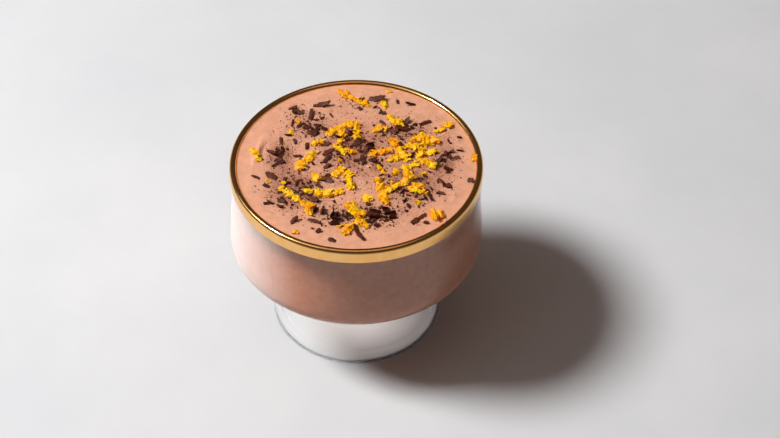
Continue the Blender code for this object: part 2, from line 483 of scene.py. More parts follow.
def crumb(size, verts, faces):
    """A small broken lump."""
    stretch = Vector((rng.uniform(0.7, 1.5), rng.uniform(0.6, 1.0), rng.uniform(0.35, 0.7)))
    shaped = []
    for vert in verts:
        shaped.append(vert * stretch * (0.5 * size) * rng.uniform(0.7, 1.2))
    return shaped, faces


def place(body, x, y, heading, lean_to, lean, sink):
    """Turn a body, lean its upper face towards a direction and sink it a little into the mousse."""
    spot_x, spot_y = x * MM, y * MM
    verts, faces = body
    axis = Vector((-math.sin(math.radians(lean_to)), math.cos(math.radians(lean_to)), 0.0))
    turn = Matrix.Rotation(math.radians(lean), 3, axis) @ Matrix.Rotation(math.radians(heading), 3, "Z")
    turned_verts = [turn @ vert for vert in verts]
    lowest = min(vert.z for vert in turned_verts)
    base = Vector((spot_x, spot_y, mousse_height(spot_x, spot_y) - lowest - sink * MM))
    return [vert + base for vert in turned_verts], faces


# ---- chocolate

# Towards the lamp's mirror direction: a plate that leans this way shines pale
SHINE = 225.0

# Largest pieces: x, y, length, width, heading, and a kind unless it is a plain flake
FLAKES = (
    (-12.5, 31, 6.4, 1.7, 4, "plate"), (-23, 29.5, 3.2, 1.2, 12, "plate"),
    (-21, 27, 2.8, 2.1, -24, "plate"), (-16.5, 25.5, 4.7, 1.6, -98, "plate"), (-23, 21.5, 3.4, 1, -100),
    (-20, 20.5, 3, 1.4, 37), (-18, 19, 2.4, 1.6, 23), (-14, 20, 3, 1.4, -26), (-15.5, 16, 4.6, 2.3, -11),
    (-11.5, 18, 2.4, 1.5, -11), (-27, 12, 3.2, 1.1, -80), (-22, 11.5, 2.6, 1.3, -79),
    (-17.5, 9, 3.6, 1.7, -100), (-11, 10, 3.2, 1.8, 20, "plate"), (-10, 6, 4.7, 2.1, 41),
    (-10.5, 2, 4, 1.7, 59), (-30, 5.5, 4.3, 1.6, -42), (-27.5, 5, 3, 1.1, 42), (-21, 4, 3, 1.6, -9),
    (-28, 0, 4.8, 1.3, 45), (-9, 25.5, 2.5, 0.8, -62), (-1.5, 15, 3.6, 1.8, 0, "curl"),
    (7.5, 34, 6, 2.2, -2, "plate"), (20, 31.5, 3.8, 1.3, 7), (10, 26.5, 1.7, 1.2, 17),
    (25, 21, 4.4, 1.8, 25), (16.5, 17.5, 4.7, 1.9, -6), (17.5, 20.5, 3.3, 1.3, -86),
    (13, 16.5, 3.4, 1.9, -43, "plate"), (5, 8, 3.2, 2, 10, "curl"), (33.5, 5.5, 2.8, 1.2, 19),
    (29.5, 1.5, 3, 1.5, 32), (33, 3, 2.2, 1.5, -47), (37, 6.5, 2.4, 1, -17), (37, 13.5, 1.7, 1.2, -34),
    (-30, -6.5, 4.6, 2.2, -38, "plate"), (-35.5, -7, 3.4, 1.1, -30), (-31.5, -11.5, 2.5, 1.6, -26),
    (-31, -20, 2.7, 1.4, 9), (-21.5, -29, 3.4, 1.4, 41, "plate"), (-14.5, -29, 4.8, 1.4, -22, "plate"),
    (-13, -34, 2, 1.5, 52), (-8.5, -38, 2.8, 1.8, -30), (-13, -23.5, 4.3, 2.4, 68, "curl"),
    (-7.5, -26, 3.4, 2.3, 68, "curl"), (-3.5, -26.5, 3, 2.2, -46, "curl"), (-7, -30, 4, 2.1, -6, "curl"),
    (-10.5, -8.5, 5, 2.4, -30, "plate"), (-15, -18.5, 4, 2.1, -18, "plate"),
    (-26, -19, 2.8, 1.8, -9, "plate"), (-26.5, -22, 2.5, 1.8, -43), (6, -26.5, 5, 2.4, 0, "curl"),
    (10.5, -24.5, 3, 2.4, 17, "curl"), (12.5, -26.5, 3.4, 2.3, 7, "curl"), (7, -31.5, 2.3, 1.6, 10),
    (0.5, -35, 7, 2.2, -69, "long"), (20, -29.5, 3, 1.9, 47), (22.5, -27, 4, 1.6, 40),
    (32, -12, 2.5, 1.5, -10), (30, -9.5, 4, 1, -64), (40, -9, 2.1, 2.1, 0, "plate"),
    (32.5, -3.5, 3.5, 1.5, 0), (25.5, -16, 5.8, 1.5, -74), (24, -30, 2, 1.2, -6),
)

# Thickness, width and sink of flakes and curls, from least to most, in millimetres
FLAKE_THICKNESS = (0.34, 0.68)
FLAKE_SINK = 0.22
CURL_THICKNESS = (0.16, 0.24)
CURL_WIDTH_MOST = 2.2
CURL_SINK = 0.35

# Smaller pieces, from least to most: most flakes are short, and some are long
SHORT_FLAKE = (0.7, 1.8)
LONG_FLAKE = (1.8, 2.9)
SHORT_SHARE = 0.80
SMALL_CURL_WIDTH_MOST = 1.1
CRUMB_SIZE = (0.25, 0.80)
CRUMB_SINK = 0.08
SPECK_SIZE = (0.14, 0.46)
SPECK_SINK = 0.04

# Where the smaller pieces lie: x, y, half width, half depth, flakes, crumbs, specks
PATCHES = (
    (-18, 21, 8, 8.5, 28, 150, 640), (-2, 10, 9, 11, 70, 330, 1250), (17, 17, 9, 7, 34, 160, 620),
    (-22, -14, 9, 8, 44, 240, 1050), (2, -26, 15, 6, 78, 300, 1050), (20, -12, 9, 8, 46, 220, 820),
    (-27, 4, 5, 8, 13, 90, 520), (2, 31, 12, 4.5, 8, 50, 240), (32, 2, 4, 8, 13, 70, 300),
    (0, -4, 20, 11, 26, 200, 1200), (24, 4, 12, 14, 4, 60, 700),
)


def scattered(centre, reach):
    """A place near a centre, thinning out away from it."""
    return min(max(rng.gauss(centre, reach * 0.52), centre - 1.3 * reach), centre + 1.3 * reach)


def on_mousse(x, y, margin):
    return math.hypot(x, y) < (LIP_RADIUS - WALL) / MM - margin


def add_flake(heap, x, y, length, width, heading, kind="flake"):
    tone = rng.uniform(0.25, 1.0)
    if kind == "curl":
        rolled = 2.5 * min(width, CURL_WIDTH_MOST) * MM
        body = shard(rolled, length * MM, rng.uniform(*CURL_THICKNESS) * MM, rng.uniform(200.0, 290.0))
        lean_to, lean = rng.uniform(0, 360), rng.uniform(0, 14)
        heap.add(*place(body, x, y, heading + 90.0, lean_to, lean, CURL_SINK), tone)
        return
    thickness = rng.uniform(*FLAKE_THICKNESS) * MM
    body = shard(length * MM, width * MM, thickness, rng.uniform(-35.0, 45.0))
    # Plates lean towards the lamp's mirror direction and also take a lighter tone: a painted highlight on top
    # of their real shine.
    if kind == "plate":
        lean_to, lean, tone = SHINE + rng.uniform(-15, 15), rng.uniform(12, 20), rng.uniform(0.75, 1.0)
    elif kind == "long":
        lean_to, lean = heading + 90.0, 28.0
    else:
        lean_to, lean = rng.uniform(0, 360), rng.uniform(4, 42) * min(1.0, 2.6 / length)
    heap.add(*place(body, x, y, heading, lean_to, lean, FLAKE_SINK), tone)


def toss(heap, body, x, y, sink, tone_low, tone_high):
    """Lay a crumb or speck on the mousse at a random turn and lean."""
    heading, lean_to, lean = rng.uniform(0, 360), rng.uniform(0, 360), rng.uniform(0, 40)
    heap.add(*place(body, x, y, heading, lean_to, lean, sink), rng.uniform(tone_low, tone_high))


def make_chocolate(material):
    """Every flake and crumb, joined into one mesh."""
    heap = Heap()
    for flake in FLAKES:
        add_flake(heap, *flake)
    for centre_x, centre_y, reach_x, reach_y, flakes, crumbs, specks in PATCHES:
        for count in range(flakes):
            x, y = scattered(centre_x, reach_x), scattered(centre_y, reach_y)
            if not on_mousse(x, y, 4.0):
                continue
            length = rng.uniform(*(SHORT_FLAKE if rng.random() < SHORT_SHARE else LONG_FLAKE))
            width = length * rng.uniform(0.35, 0.75)
            kind = rng.choices(("flake", "plate", "curl"), (6, 2, 1))[0]
            if kind == "curl":
                width = min(width, SMALL_CURL_WIDTH_MOST)
            add_flake(heap, x, y, length, width, rng.uniform(0, 180), kind)
        for count in range(crumbs):
            x, y = scattered(centre_x, reach_x * 1.15), scattered(centre_y, reach_y * 1.15)
            if not on_mousse(x, y, 3.5):
                continue
            body = crumb(rng.uniform(*CRUMB_SIZE) * MM, ICO_VERTS, ICO_FACES)
            toss(heap, body, x, y, CRUMB_SINK, 0.1, 0.9)
    return heap.to_object("chocolate_shavings", material, False)


def make_dust(material):
    """Fine specks of chocolate among the shavings."""
    heap = Heap()
    for centre_x, centre_y, reach_x, reach_y, flakes, crumbs, specks in PATCHES:
        for count in range(specks):
            x, y = scattered(centre_x, reach_x * 1.25), scattered(centre_y, reach_y * 1.25)
            if not on_mousse(x, y, 3.0):
                continue
            body = crumb(rng.uniform(*SPECK_SIZE) * MM, OCTA_VERTS, OCTA_FACES)
            toss(heap, body, x, y, SPECK_SINK, 0.0, 1.0)
    return heap.to_object("chocolate_dust", material, False)


def dust_share(x, y):
    """How thickly fine dust lies on the mousse at a place, from 0 to 1."""
    total = 0.0
    for centre_x, centre_y, reach_x, reach_y, flakes, crumbs, specks in PATCHES:
        over_x = (x / MM - centre_x) / (reach_x * 1.15)
        over_y = (y / MM - centre_y) / (reach_y * 1.15)
        total += specks / (reach_x * reach_y * 14.0) * math.exp(-over_x * over_x - over_y * over_y)
    return min(total, 1.0)


# ---- orange zest

# Shreds, each an arc: start x, start y, heading, length, turn, width
SHREDS = (
    (-7, 39.5, -30, 8.5, -14, 1.7), (0, 34.3, -36, 6.5, -10, 1.8), (-10.5, 15, 25, 6, 30, 1.8),
    (-6.5, 18.5, 60, 8.5, -115, 2), (-0.5, 19, -50, 7, -70, 1.9), (-6, 18.5, -88, 5, 20, 1.8),
    (-5.5, 13, -85, 5.5, -55, 1.7), (-7, 9, -54, 5.7, -5, 1.6), (-4.5, 7, -15, 4.6, -30, 1.5),
    (-16.5, 10, 28, 5, -38, 1.5), (-21, -3.5, 62, 9, -18, 2.2), (-17, 3, 35, 4, 70, 2),
    (-37, 8, -60, 7.8, -5, 1.5), (-9, -6.5, 28, 6.5, 30, 1.8), (-3.5, -4.5, -76, 9.2, -14, 1.9),
    (-27, -12, -65, 11, 35, 1.6), (-19.5, -20.5, -25, 5.5, 45, 1.5), (-14.5, -13, -52, 5.3, -10, 1.5),
    (-8.5, -15.5, 5, 4.5, 8, 1.6), (-3.5, -23, 30, 4.6, 4, 1.9), (-2.5, -23.5, -70, 6, 100, 1.8),
    (-0.5, -27.5, 38, 5, -18, 1.7), (-3.5, -35.5, 92, 5, -40, 2), (-1.8, -31.2, 45, 7.2, -110, 2),
    (12, 25.5, -73, 4, 20, 1.9), (13, 22.5, -45, 6, 0, 2.2), (5.5, 16.5, 30, 5.4, -12, 1.6),
    (10, 18.5, -37, 1.8, 0, 1.6), (28, 16.5, 8, 4.5, 40, 1.5), (32, 19, 20, 3.6, -15, 1.5),
    (20, 12, -14, 6, 60, 2.1), (23, 10, 0, 7.6, 36, 2.2), (12, 12.5, -52, 5, -14, 1.9),
    (15, 8.5, -72, 8.2, 8, 2.2), (17.5, 9, -14, 7, -30, 2), (21, 3.5, 30, 9.1, 0, 2.1),
    (8, 4.5, 28, 5.8, -28, 1.7), (5, 3, 55, 3.6, 5, 1.6), (11.5, 1.5, 16, 5.6, -8, 1.7),
    (16.5, -3.5, 40, 6.8, -3, 2), (22.5, 2.5, -60, 6, 25, 1.9), (41, 1.5, 38, 3.4, 35, 1.6),
    (7.5, -1.5, -60, 4.6, -4, 1.1), (7, -7.5, -78, 7.2, 10, 1.9), (9, -14.5, -80, 6.9, -10, 1.9),
    (9, -14.5, 20, 8.3, 22, 1.9), (16.5, -11.5, 65, 8.2, 40, 2), (19, -5.5, -65, 2.9, 0, 1.7),
    (18.5, -14, 45, 6.1, -30, 1.7), (19, -13.5, -30, 5.9, 25, 1.6),
)

# Lumps: x, y, length, width, heading
LUMPS = (
    (-14, -7.5, 3.2, 2.6, 20), (-17, -14, 2.6, 1.7, 0), (-16.5, -24.5, 2, 1.8, 0), (4, -18, 3, 2.6, 40),
    (14, -5, 2.4, 2, 0), (27, -1.5, 3, 2.4, 30), (28, -27, 4.6, 3, 15), (10.5, 31, 2, 1.8, 0),
    (-9.8, -15.6, 3.2, 2.8, 60), (-1.5, -11.5, 2.6, 2.2, 0), (-1, -23.5, 3.2, 2.4, 30),
    (-21, 22, 1.4, 1, 0), (-5.5, 1.5, 1.3, 1, 50), (-23.5, 16, 1.2, 0.9, 0), (-25.5, -10, 1.2, 0.8, 0),
    (-31, -9, 1.2, 0.8, 70), (-6, -31, 1.3, 0.9, 0), (-21, -34.5, 1.9, 0.9, 10), (12.5, 38.5, 1.6, 1, -30),
    (24, -5.5, 1.5, 1, 0), (21.5, -20, 1.4, 1, 60),
)
SHRED_SIDES = 12
SHRED_STEP = 0.24 * MM
COARSE_TEAR = 1.0 * MM
FINE_TEAR = 0.42 * MM
SCRAP_SIZE = (0.5, 1.35)


def shred(x, y, heading, length, turn, width):
    """A shred of peel laid on the mousse: a rough, torn strip along an arc. Gives its body and its spine."""
    steps = max(int(length * MM / SHRED_STEP), 6)
    seed = Vector((rng.uniform(0, 50), rng.uniform(0, 50), rng.uniform(0, 50)))
    flatness = rng.uniform(0.40, 0.58)
    lift_most = rng.uniform(0.0, 0.3) * MM
    spot = Vector((x * MM, y * MM, 0.0))
    verts = []
    spine = []
    for step in range(steps + 1):
        share = step / steps
        wobble = noise.noise(seed + Vector((share * length * 0.55, 0.0, 0.0)))
        angle = math.radians(heading + turn * share) + wobble * 0.6
        if step:
            spot += Vector((math.cos(angle), math.sin(angle), 0.0)) * (length * MM / steps)
        end_taper = min(math.sin(math.pi * min(max(share, 0.03), 0.97)) * 2.4, 1.0) ** 0.6
        half = 0.5 * width * MM * end_taper * (1.18 + 0.8 * wobble)
        side = Vector((-math.sin(angle), math.cos(angle), 0.0))
        lean = 0.8 * noise.noise(seed + Vector((0.0, share * length * 0.4, 0.0)))
        lift = max(lift_most * (0.4 + noise.noise(seed + Vector((0.0, 0.0, share * length * 0.3)))), 0.0)
        centre = Vector((spot.x, spot.y, mousse_height(spot.x, spot.y) + half * flatness * 0.7 + lift))
        spine.append((centre, side, half))
        for side_number in range(SHRED_SIDES):
            round_angle = 2.0 * math.pi * side_number / SHRED_SIDES
            across, up = math.cos(round_angle), math.sin(round_angle)
            spot_on = centre + side * across * half + Vector((0.0, 0.0, up * half))
            coarse = noise.noise(seed + spot_on / COARSE_TEAR)
            fine = noise.noise(seed + spot_on / FINE_TEAR)
            rough = 1.0 + 0.60 * coarse + 0.75 * fine
            rise = up * half * flatness * rough + across * half * math.sin(lean)
            verts.append(centre + side * across * half * rough + Vector((0.0, 0.0, rise)))
    faces = []
    for step in range(steps):
        for side_number in range(SHRED_SIDES):
            after = (side_number + 1) % SHRED_SIDES
            low, high = step * SHRED_SIDES, (step + 1) * SHRED_SIDES
            faces.append((low + side_number, low + after, high + after, high + side_number))
    faces.append(tuple(reversed(range(SHRED_SIDES))))
    faces.append(tuple(steps * SHRED_SIDES + side_number for side_number in range(SHRED_SIDES)))
    return verts, faces, spine


def torn_bit(centre, size):
    """A small torn scrap of peel, longer one way and lying at a random turn."""
    seed = Vector((rng.uniform(0, 50), rng.uniform(0, 50), rng.uniform(0, 50)))
    stretch = Vector((rng.uniform(0.9, 1.7), rng.uniform(0.5, 0.9), rng.uniform(0.3, 0.55)))
    heading = Matrix.Rotation(rng.uniform(0.0, math.pi), 3, "Z")
    turn = heading @ Matrix.Rotation(rng.uniform(-0.6, 0.6), 3, "Y")
    shaped = []
    for vert in BALL_VERTS:
        rough = 1.0 + 1.25 * noise.noise(seed + vert * 1.9)
        shaped.append(centre + turn @ (vert * stretch * (0.5 * size * rough)))
    return shaped, BALL_FACES


def add_shred(heap, x, y, heading, length, turn, width):
    """A shred with torn scraps along both its sides."""
    tone = rng.random()
    verts, faces, spine = shred(x, y, heading, length, turn, width)
    heap.add(verts, faces, tone)
    for count in range(int(length * 1.9) + 5):
        centre, side, half = spine[rng.randrange(len(spine))]
        reach = rng.choice((-1.0, 1.0)) * rng.uniform(0.3, 1.45)
        spot = centre + side * reach * half + Vector((0.0, 0.0, rng.uniform(-0.35, 0.55) * half))
        bit_tone = min(max(tone + rng.uniform(-0.35, 0.35), 0.0), 1.0)
        heap.add(*torn_bit(spot, rng.uniform(*SCRAP_SIZE) * MM), bit_tone)


def make_zest(material):
    heap = Heap()
    for x, y, heading, length, turn, width in SHREDS:
        add_shred(heap, x, y, heading, length, turn, width)
    for x, y, length, width, heading in LUMPS:
        start_x = x - 0.5 * length * math.cos(math.radians(heading))
        start_y = y - 0.5 * length * math.sin(math.radians(heading))
        add_shred(heap, start_x, start_y, heading, length, 20.0, width)
    return heap.to_object("orange_zest", material, True)


# ---- materials

def new_material(name):
    """A material and its Principled shader."""
    material = bpy.data.materials.new(name)
    material.use_nodes = True
    return material, material.node_tree.nodes["Principled BSDF"]


def add_node(owner, kind, **inputs):
    """Add a node to a material or world and set its inputs by name."""
    node = owner.node_tree.nodes.new(kind)
    for key, value in inputs.items():
        node.inputs[key].default_value = value
    return node


def join(owner, output, target):
    owner.node_tree.links.new(output, target)


def object_place(material):
    """Places in the object's own space."""
    return add_node(material, "ShaderNodeTexCoord").outputs["Object"]


def place_part(material, axis):
    """How far along one axis a place is, in the object's own space."""
    parts = add_node(material, "ShaderNodeSeparateXYZ")
    join(material, object_place(material), parts.inputs["Vector"])
    return parts.outputs[axis]


def noise_at(material, size, detail=3.0, roughness=0.5):
    """Noise whose features are about size metres across, in the object's own space."""
    node = add_node(material, "ShaderNodeTexNoise", Scale=1.0 / size, Detail=detail, Roughness=roughness)
    join(material, object_place(material), node.inputs["Vector"])
    return node.outputs["Fac"]


def ramp(owner, factor, stops):
    """Colours by a factor: two stops, each a position and a colour."""
    node = add_node(owner, "ShaderNodeValToRGB")
    for element, (position, colour) in zip(node.color_ramp.elements, stops):
        element.position = position
        element.color = (*colour, 1.0)
    join(owner, factor, node.inputs["Fac"])
    return node.outputs["Color"]


def mix_colour(material, factor, first, second, kind="MIX"):
    node = material.node_tree.nodes.new("ShaderNodeMix")
    node.data_type = "RGBA"
    node.blend_type = kind
    sockets = [socket for socket in node.inputs if socket.type == "RGBA"]
    for value, socket in ((first, sockets[0]), (second, sockets[1])):
        if isinstance(value, tuple):
            socket.default_value = (*value, 1.0)
        else:
            join(material, value, socket)
    join(material, factor, node.inputs["Factor"])
    return [socket for socket in node.outputs if socket.type == "RGBA"][0]


def to_range(material, value, low, high, from_low=0.0, from_high=1.0):
    node = add_node(material, "ShaderNodeMapRange")
    for key, number in (("From Min", from_low), ("From Max", from_high), ("To Min", low), ("To Max", high)):
        node.inputs[key].default_value = number
    join(material, value, node.inputs["Value"])
    return node.outputs["Result"]


def calculate(owner, operation, first, second, clamp=False):
    node = add_node(owner, "ShaderNodeMath")
    node.operation = operation
    node.use_clamp = clamp
    join(owner, first, node.inputs[0])
    join(owner, second, node.inputs[1])
    return node.outputs["Value"]


def mix_shader(owner, factor, first, second):
    node = add_node(owner, "ShaderNodeMixShader")
    join(owner, factor, node.inputs["Fac"])
    join(owner, first, node.inputs[1])
    join(owner, second, node.inputs[2])
    return node.outputs["Shader"]


def set_surface(material, look):
    join(material, look, material.node_tree.nodes["Material Output"].inputs["Surface"])


def bump(material, shader, height, distance):
    node = add_node(material, "ShaderNodeBump", Strength=1.0, Distance=distance)
    join(material, height, node.inputs["Height"])
    join(material, node.outputs["Normal"], shader.inputs["Normal"])


def attribute(material, name):
    node = material.node_tree.nodes.new("ShaderNodeAttribute")
    node.attribute_name = name
    return node.outputs["Fac"]


def specks_and_hollow_shade(material):
    """Sparse dark specks of chocolate, and small hollows that are only painted shade, up to about half a
    millimetre across.
    """
    cells = add_node(material, "ShaderNodeTexVoronoi", Scale=1.0 / (3.0 * MM))
    join(material, object_place(material), cells.inputs["Vector"])
    parts = add_node(material, "ShaderNodeSeparateColor")
    join(material, cells.outputs["Color"], parts.inputs["Color"])
    chosen = to_range(material, parts.outputs["Red"], 0.0, 1.0, 0.62, 0.70)
    spot = to_range(material, cells.outputs["Distance"], 0.75, 0.0, 0.05, 0.11)
    return calculate(material, "MULTIPLY", chosen, spot)


def mousse_material():
    """Mottled mousse, browner where dust lies, and darker on its side below the top: painted shade, which
    also stands for the deeper colour where glass presses on it.
    """
    material, shader = new_material("chocolate_mousse")
    mottle = ramp(material, noise_at(material, 2.6 * MM, 4.0, 0.6), (
        (0.30, (0.650, 0.318, 0.198)), (0.72, (0.765, 0.388, 0.250))))
    fine = to_range(material, noise_at(material, 0.45 * MM, 2.0), 0.0, 1.0, 0.60, 0.74)
    plain = mix_colour(material, fine, mottle, (0.58, 0.29, 0.195))
    grain = noise_at(material, 0.24 * MM, 3.0, 0.7)
    dusty = add_node(material, "ShaderNodeMath")
    dusty.operation = "MULTIPLY_ADD"
    join(material, attribute(material, "dust"), dusty.inputs[0])
    dusty.inputs[1].default_value = 0.31
    join(material, grain, dusty.inputs[2])
    speckle = to_range(material, dusty.outputs["Value"], 0.0, 0.85, 0.66, 0.78)
    dusted = mix_colour(material, speckle, plain, (0.26, 0.085, 0.048))
    # Below the top the colour is multiplied darker: painted shade on the mousse's side, also standing for the
    # deeper colour where glass presses on it.
    side_shade = to_range(material, place_part(material, "Z"), 1.0, 0.0, 64.0 * MM, 69.0 * MM)
    side_shaded = mix_colour(material, side_shade, dusted, (0.97, 0.86, 0.79), "MULTIPLY")
    # Dark spots: real chocolate specks, and painted shade standing for small hollows and bubbles.
    specked_and_hollow_shaded = mix_colour(material, specks_and_hollow_shade(material), side_shaded, (0.13, 0.045, 0.028))
    join(material, specked_and_hollow_shaded, shader.inputs["Base Color"])
    join(material, to_range(material, noise_at(material, 3.5 * MM), 0.42, 0.60), shader.inputs["Roughness"])
    shader.inputs["Subsurface Weight"].default_value = 0.30
    shader.inputs["Subsurface Scale"].default_value = 1.2 * MM
    shader.inputs["Subsurface Radius"].default_value = (1.0, 0.55, 0.35)
    shader.inputs["Specular IOR Level"].default_value = 0.5
    bump(material, shader, noise_at(material, 0.55 * MM, 4.0, 0.6), 0.05 * MM)
    return material


def chocolate_material(name, dark, light):
    """Chocolate from dark to light by each body's tone, with a dull bloom in patches."""
    material, shader = new_material(name)
    base = mix_colour(material, attribute(material, "tone"), dark, light)
    bloom = to_range(material, noise_at(material, 0.8 * MM, 3.0), 0.0, 0.45, 0.50, 0.75)
    join(material, mix_colour(material, bloom, base, (0.22, 0.080, 0.048)), shader.inputs["Base Color"])
    join(material, to_range(material, noise_at(material, 1.1 * MM), 0.36, 0.60), shader.inputs["Roughness"])
    shader.inputs["Specular IOR Level"].default_value = 0.16
    bump(material, shader, noise_at(material, 0.25 * MM, 3.0, 0.6), 0.04 * MM)
    return material


def zest_material():
    """Moist peel, from orange to yellow by each body's tone, with patches of paler pith."""
    material, shader = new_material("orange_zest")
    base = mix_colour(material, attribute(material, "tone"), (0.95, 0.34, 0.001), (1.0, 0.56, 0.003))
    pith = to_range(material, noise_at(material, 1.1 * MM, 3.0), 0.0, 0.7, 0.56, 0.78)
    join(material, mix_colour(material, pith, base, (1.0, 0.70, 0.035)), shader.inputs["Base Color"])
    join(material, to_range(material, noise_at(material, 0.5 * MM), 0.22, 0.50), shader.inputs["Roughness"])
    shader.inputs["Specular IOR Level"].default_value = 0.24
    shader.inputs["Subsurface Weight"].default_value = 0.30
    shader.inputs["Subsurface Scale"].default_value = 0.6 * MM
    shader.inputs["Subsurface Radius"].default_value = (1.0, 0.5, 0.1)
    bump(material, shader, noise_at(material, 0.30 * MM, 3.0, 0.6), 0.10 * MM)
    return material


def gold_material():
    """Fired gold, slightly uneven in colour and gloss."""
    material, shader = new_material("gold")
    shade = ramp(material, noise_at(material, 9.0 * MM, 4.0, 0.6), (
        (0.35, (0.94, 0.50, 0.16)), (0.70, (1.0, 0.60, 0.23))))
    join(material, shade, shader.inputs["Base Color"])
    dullness = to_range(material, noise_at(material, 1.8 * MM, 4.0), 0.12, 0.24)
    join(material, dullness, shader.inputs["Roughness"])
    shader.inputs["Metallic"].default_value = 1.0
    bump(material, shader, noise_at(material, 3.5 * MM, 2.0), 0.004 * MM)
    return material


def add_mist_and_lit_veil(material, clear_look):
    """Fine mist on the chilled bowl, thickest on its lit left side as a painted veil of light, and none on
    the foot.
    """
    # The mist's share rises towards the left, where the key lamp falls: a painted veil of light on the lit
    # side.
    lit_side_veil = to_range(material, place_part(material, "X"), 0.0, MIST_AND_VEIL_MOST, LIT_VEIL_FROM, LIT_VEIL_FULL)
    raised = to_range(material, place_part(material, "Z"), 0.0, 1.0, MIST_FOOT, MIST_FOOT + MIST_BLEND)
    patchy = to_range(material, noise_at(material, 6.0 * MM, 5.0, 0.65), 0.85, 1.15)
    amount = calculate(material, "MULTIPLY", calculate(material, "MULTIPLY", lit_side_veil, raised), patchy)
    mist = add_node(material, "ShaderNodeBsdfDiffuse", Color=(0.93, 0.87, 0.85, 1.0))
    return mix_shader(material, amount, clear_look, mist.outputs["BSDF"])


def glass_material():
    """Clear glass that lets lamps through, so that what it holds and stands on is lit."""
    material, shader = new_material("clear_glass")
    shader.inputs["Base Color"].default_value = (0.985, 0.988, 0.984, 1.0)
    shader.inputs["Transmission Weight"].default_value = 1.0
    shader.inputs["IOR"].default_value = 1.5
    dullness = to_range(material, noise_at(material, 14.0 * MM, 2.0), 0.0, 0.02)
    join(material, dullness, shader.inputs["Roughness"])
    bump(material, shader, noise_at(material, 16.0 * MM, 1.0), 0.04 * MM)
    # Mist, with a painted veil of light on the bowl's lit left side.
    misted_and_veiled = add_mist_and_lit_veil(material, shader.outputs["BSDF"])
    clear = add_node(material, "ShaderNodeBsdfTransparent", Color=(0.96, 0.963, 0.96, 1.0))
    shadowing = add_node(material, "ShaderNodeLightPath").outputs["Is Shadow Ray"]
    set_surface(material, mix_shader(material, shadowing, misted_and_veiled, clear.outputs["BSDF"]))
    return material


def floor_material():
    """A plain pale floor that fades into the backdrop far away."""
    material, shader = new_material("pale_floor")
    shade = ramp(material, noise_at(material, 90.0 * MM, 5.0, 0.6), (
        (0.30, (0.645, 0.665, 0.695)), (0.70, (0.715, 0.730, 0.750))))
    join(material, shade, shader.inputs["Base Color"])
    shader.inputs["Roughness"].default_value = 0.75
    shader.inputs["Specular IOR Level"].default_value = 0.2
    distance = add_node(material, "ShaderNodeVectorMath")
    distance.operation = "LENGTH"
    join(material, object_place(material), distance.inputs[0])
    faded = to_range(material, distance.outputs["Value"], 0.0, 1.0, FADE_FROM, FADE_TO)
    backdrop = add_node(material, "ShaderNodeEmission", Color=(*BACKDROP_COLOUR, 1.0))
    set_surface(material, mix_shader(material, faded, shader.outputs["BSDF"], backdrop.outputs["Emission"]))
    return material


# ---- floor, lamps and camera

def flat_disc(name, radius, centre_y, height, material):
    mesh = bpy.data.meshes.new(name)
    steps = 96
    ring = [2.0 * math.pi * step / steps for step in range(steps)]
    verts = [(radius * math.cos(angle), centre_y + radius * math.sin(angle), height) for angle in ring]
    mesh.from_pydata(verts, [], [tuple(range(steps))])
    return new_object(name, mesh, material)


# The part of the floor that gold and glass mirror: it ends this far in front of the glass, as a table would
MIRRORED_RADIUS = 1.5
MIRRORED_FRONT = 0.20
MIRRORED_LIFT = 0.1 * MM
UNDER_FOOT_LIFT = 0.05 * MM


def make_floor():
    """The wide floor, its mirrored part and its part under the foot, which is given back."""
    material = floor_material()
    wide = flat_disc("floor", FLOOR_RADIUS, 0.0, 0.0, material)
    wide.visible_glossy = False
    mirrored_y = MIRRORED_RADIUS - MIRRORED_FRONT
    near = flat_disc("floor_mirrored", MIRRORED_RADIUS, mirrored_y, MIRRORED_LIFT, material)
    near.visible_camera = False
    near.visible_diffuse = False
    near.visible_transmission = False
    near.visible_shadow = False
    under = flat_disc("floor_under_foot", RING_INNER_RADIUS, 0.0, UNDER_FOOT_LIFT, material)
    under.visible_glossy = False
    return under


def add_lamp(name, direction, distance, size, size_y, watts, colour):
    """A flat lamp that faces the glass, round if it has no size_y."""
    data = bpy.data.lights.new(name, "AREA")
    data.energy = watts
    data.color = colour
    if size_y:
        data.shape = "RECTANGLE"
        data.size = size
        data.size_y = size_y
    else:
        data.shape = "DISK"
        data.size = size
    lamp = bpy.data.objects.new(name, data)
    bpy.context.scene.collection.objects.link(lamp)
    towards = Vector(direction).normalized()
    target = Vector((0.0, 0.0, LIP_HEIGHT))
    lamp.location = target + towards * distance
    lamp.rotation_euler = towards.to_track_quat("Z", "Y").to_euler()
    return lamp


# The key lamp, and the small bright middle of it that only glossy surfaces show
KEY_DIRECTION = (-0.628, 0.038, 0.777)
KEY_DISTANCE = 1.3
KEY_SIZE = 0.37
KEY_WATTS = 21.3
KEY_COLOUR = (1.0, 0.992, 0.98)
SPARK_SIZE = 0.11

# A long narrow lamp behind the key lamp, for long highlights on the gold
STRIP_DISTANCE = 1.35
STRIP_LENGTH = 1.4
STRIP_WIDTH = 0.22
STRIP_WATTS = 1.3
STRIP_COLOUR = (1.0, 1.0, 1.0)
STRIP_ALONG = Vector((0.7, -0.7, 0.05))

CEILING_DIRECTION = (0.0, -0.05, 1.0)
CEILING_DISTANCE = 1.6
CEILING_SIZE = 1.2
CEILING_WATTS = 2.1
CEILING_COLOUR = (1.0, 0.74, 0.63)

# A lamp under the bowl stands for the light that real glass gathers under its foot
STRAIGHT_UP = (0.0, 0.0, 1.0)
GLOW_PLACE = (1.0 * MM, -15.0 * MM, 12.0 * MM)
GLOW_LENGTH = 0.044
GLOW_WIDTH = 0.026
GLOW_WATTS = 0.0056
GLOW_COLOUR = (1.0, 0.90, 0.85)


